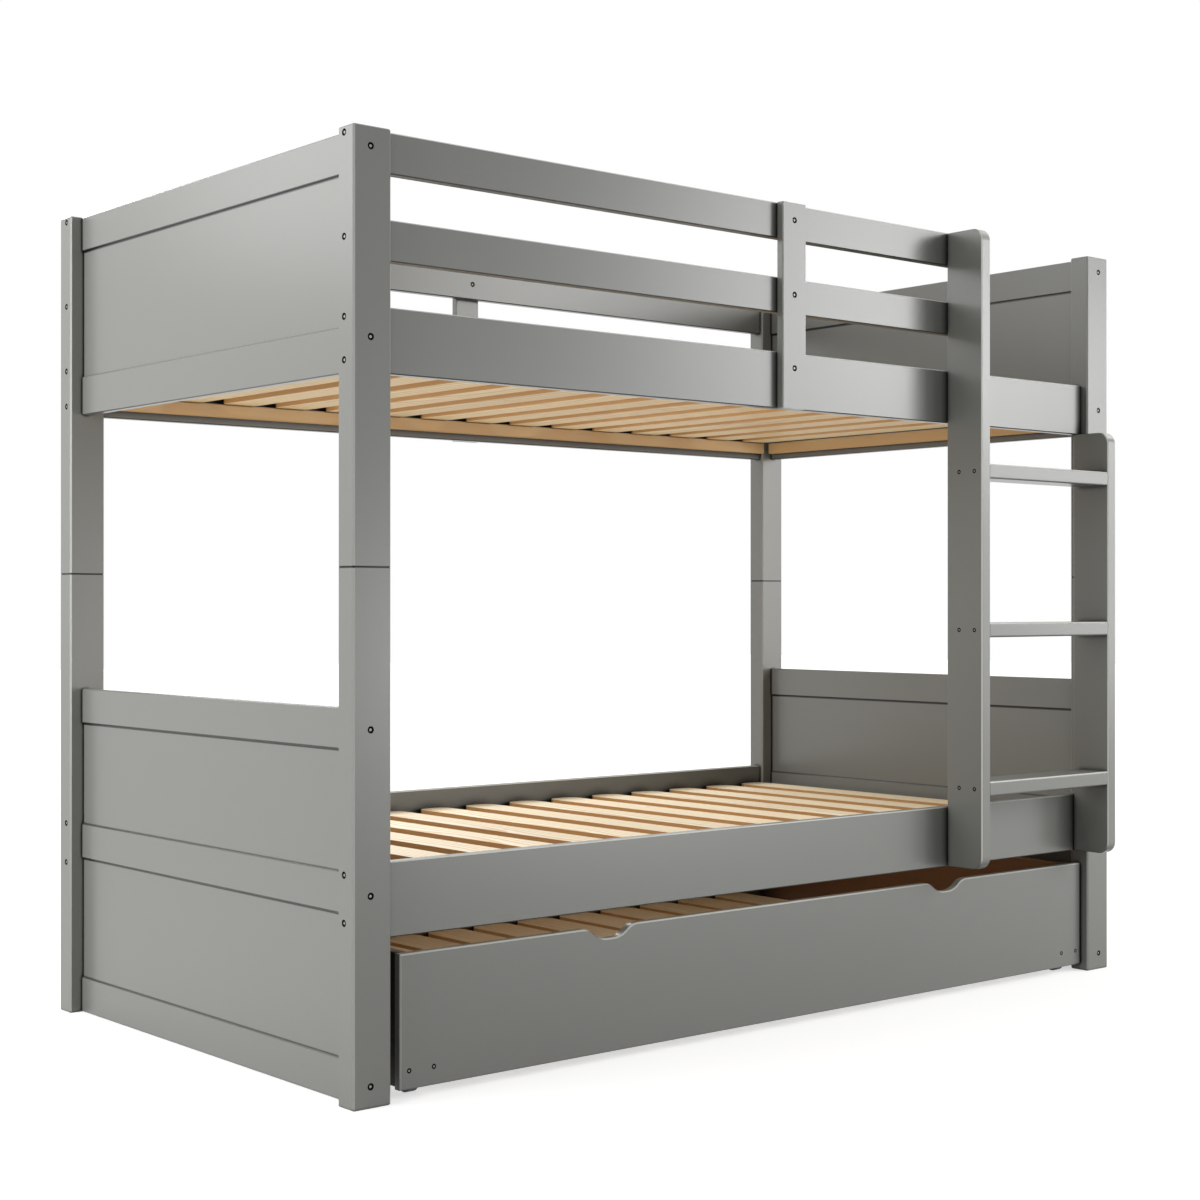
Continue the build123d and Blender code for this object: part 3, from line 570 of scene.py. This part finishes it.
# the collar is dull and near black, painted shade, the recess inside it brushed and bright; it begins at the
# shares under collar
faceSteel = {"bright": (128, 127, 123), "collarShade": (8, 8, 7), "metal": 0.4, "gloss": 0.45, "brushing": 900.0,
             "brushSpread": 0.12, "collar": (0.36, 0.46), "collarDulling": 0.4, "collarSheen": -0.48,
             "sheen": 0.5}
share = addNode(tree, "ShaderNodeAttribute", (-900, 100), attribute_name="share")
spot = addNode(tree, "ShaderNodeTexCoord", (-1100, -200))
brushed = addNode(tree, "ShaderNodeTexNoise", (-900, -200))
brushed.inputs["Scale"].default_value = faceSteel["brushing"]
steelMix = addNode(tree, "ShaderNodeMix", (-400, 100), data_type="RGBA")
steelMix.inputs["A"].default_value = linearColour(*faceSteel["bright"])
steelMix.inputs["B"].default_value = linearColour(*faceSteel["collarShade"])
collar = softStep(tree, share.outputs["Fac"], *faceSteel["collar"], (-650, 100))
shine = mathNode(tree, "MULTIPLY_ADD", brushed.outputs[0], faceSteel["brushSpread"],
                 faceSteel["gloss"] - faceSteel["brushSpread"] / 2, place=(-600, -200))
dulled = mathNode(tree, "MULTIPLY_ADD", collar, faceSteel["collarDulling"], shine, place=(-400, -200))
metallic = mathNode(tree, "MULTIPLY_ADD", collar, -faceSteel["metal"], faceSteel["metal"], place=(-400, -400))
sheen = mathNode(tree, "MULTIPLY_ADD", collar, faceSteel["collarSheen"], faceSteel["sheen"],
                 place=(-400, -600))
joinSockets(tree, (collar, steelMix.inputs["Factor"]), (spot.outputs["Object"], brushed.inputs["Vector"]),
            (steelMix.outputs["Result"], shader.inputs["Base Color"]), (dulled, shader.inputs["Roughness"]),
            (metallic, shader.inputs["Metallic"]), (sheen, shader.inputs["Specular IOR Level"]))
for nodeName, look in boltFaces.items():
    seats = seatsOf(nodeName, look["axis"], look.get("head", 0))
    points, faces, shares = turnedFaces(seats, look)
    faceMesh = bpy.data.meshes.new(nodeName + "_faces")
    faceMesh.from_pydata(points.tolist(), [], faces)
    faceMesh.attributes.new("share", "FLOAT", "POINT").data.foreach_set("value", shares)
    faceMesh.materials.append(material)
    piece = bpy.data.objects.new(nodeName + "_faces", faceMesh)
    bpy.context.scene.collection.objects.link(piece)
    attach(piece, look["body"])
    print("bolt faces:", nodeName, len(seats))


# Studio: pale floor, white surround, soft boxes

studio = {
    "floorSize": 40.0,
    "floorColour": (205, 205, 203),
    "floorLift": 0.6,
    "farWhite": (2.6, 5.5),
    "floorRoughness": 0.9,
    "floorSheen": 0.1,
    "roomLight": 0.36,
}
softBoxes = {
    "leftBack": {"at": (-2.9, 2.3, 1.8), "aim": (-1.0, 0.2, 1.0), "size": (3.0, 2.4), "watts": 6},
    "leftSide": {"at": (-3.4, -0.2, 1.35), "aim": (-1.0, -0.1, 1.0), "size": (2.0, 2.0), "watts": 73},
    "leftHigh": {"at": (-2.4, 1.2, 2.3), "aim": (-1.0, 0.0, 1.2), "size": (1.6, 1.2), "watts": 18},
    "rightHigh": {"at": (3.1, -3.2, 2.05), "aim": (0.4, -0.5, 1.2), "size": (1.3, 1.4), "watts": 56},
    "rightLow": {"at": (3.6, -2.4, 1.2), "aim": (0.6, -0.5, 0.8), "size": (1.0, 1.6), "watts": 23},
    "frontLow": {"at": (2.6, -4.2, 0.6), "aim": (0.6, -0.5, 0.3), "size": (1.4, 0.8), "watts": 52},
    "behind": {"at": (0.3, 3.4, 2.4), "aim": (0.2, 0.0, 0.45), "size": (3.0, 1.4), "watts": 100},
    "edge": {"at": (2.6, -1.4, 2.7), "aim": (0.2, -0.5, 1.0), "size": (0.9, 0.9), "watts": 7},
}


def whiteForTheEye(tree, place):
    # 1 where the camera, a reflection or glass looks straight at it, 0 where it only lights
    path = addNode(tree, "ShaderNodeLightPath", place)
    seen = mathNode(tree, "MAXIMUM", path.outputs["Is Camera Ray"], path.outputs["Is Glossy Ray"],
                    place=(place[0] + 200, place[1]))
    return mathNode(tree, "MAXIMUM", seen, path.outputs["Is Transmission Ray"],
                    place=(place[0] + 400, place[1]))


half = studio["floorSize"] / 2
corners = np.array([(-half, -half, 0), (half, -half, 0), (half, half, 0), (-half, half, 0)])
floorMesh = bpy.data.meshes.new("studioFloor")
floorMesh.from_pydata(corners.tolist(), [], [(0, 1, 2, 3)])
studioFloor = bpy.data.objects.new("studioFloor", floorMesh)
bpy.context.scene.collection.objects.link(studioFloor)
material, tree, shader = startMaterial("studio floor")
shader.inputs["Base Color"].default_value = linearColour(*studio["floorColour"])
shader.inputs["Roughness"].default_value = studio["floorRoughness"]
shader.inputs["Specular IOR Level"].default_value = studio["floorSheen"]
shader.inputs["Emission Color"].default_value = (1, 1, 1, 1)
# near the bed the floor keeps its shadow; further out it fades to the white of the surround
spot = addNode(tree, "ShaderNodeTexCoord", (-1300, -600))
apart = addNode(tree, "ShaderNodeVectorMath", (-1100, -600), operation="LENGTH")
joinSockets(tree, (spot.outputs["Object"], apart.inputs[0]))
fade = softStep(tree, apart.outputs["Value"], studio["farWhite"][0], studio["farWhite"][1], (-900, -600))
lift = mathNode(tree, "MULTIPLY_ADD", fade, 1.0 - studio["floorLift"], studio["floorLift"],
                place=(-600, -600))
lift = mathNode(tree, "MULTIPLY", whiteForTheEye(tree, (-900, -300)), lift, place=(-300, -300))
joinSockets(tree, (lift, shader.inputs["Emission Strength"]))
floorMesh.materials.append(material)

room = bpy.data.worlds.new("studioRoom")
bpy.context.scene.world = room
room.use_nodes = True
tree = room.node_tree
background = next(node for node in tree.nodes if node.type == "BACKGROUND")
background.inputs["Color"].default_value = (1, 1, 1, 1)
glow = mathNode(tree, "MULTIPLY_ADD", whiteForTheEye(tree, (-900, 0)), 1.0 - studio["roomLight"],
                studio["roomLight"], place=(-300, 0))
joinSockets(tree, (glow, background.inputs["Strength"]))


def aimAt(item, target):
    # turns a lamp so that it looks from its place to the target
    span = [t - p for t, p in zip(target, item.location)]
    flat = math.hypot(span[0], span[1])
    item.rotation_euler = (math.atan2(flat, -span[2]), 0, math.atan2(-span[0], span[1]))


for boxName, box in softBoxes.items():
    lamp = bpy.data.lights.new(boxName, "AREA")
    lamp.shape = "RECTANGLE"
    lamp.size, lamp.size_y = box["size"]
    lamp.energy = box["watts"]
    holder = bpy.data.objects.new(boxName, lamp)
    holder.location = box["at"]
    bpy.context.scene.collection.objects.link(holder)
    aimAt(holder, box["aim"])
    holder.visible_camera = False
print("studio lit")


# Camera where the picture was taken

cameraLook = {"at": (-2.78021, -3.2223, 0.81331), "tilt": 90.102, "turn": -40.105, "lens": 60.603,
              "sensor": 36.0, "nearest": 0.05, "farthest": 100}
cameraData = bpy.data.cameras.new("pictureCamera")
cameraData.lens = cameraLook["lens"]
cameraData.sensor_width = cameraLook["sensor"]
cameraData.clip_start = cameraLook["nearest"]
cameraData.clip_end = cameraLook["farthest"]
pictureCamera = bpy.data.objects.new("pictureCamera", cameraData)
pictureCamera.location = cameraLook["at"]
pictureCamera.rotation_euler = (math.radians(cameraLook["tilt"]), 0, math.radians(cameraLook["turn"]))
bpy.context.scene.collection.objects.link(pictureCamera)
bpy.context.scene.camera = pictureCamera
bpy.context.scene.view_settings.view_transform = "Standard"

bpy.context.view_layer.update()
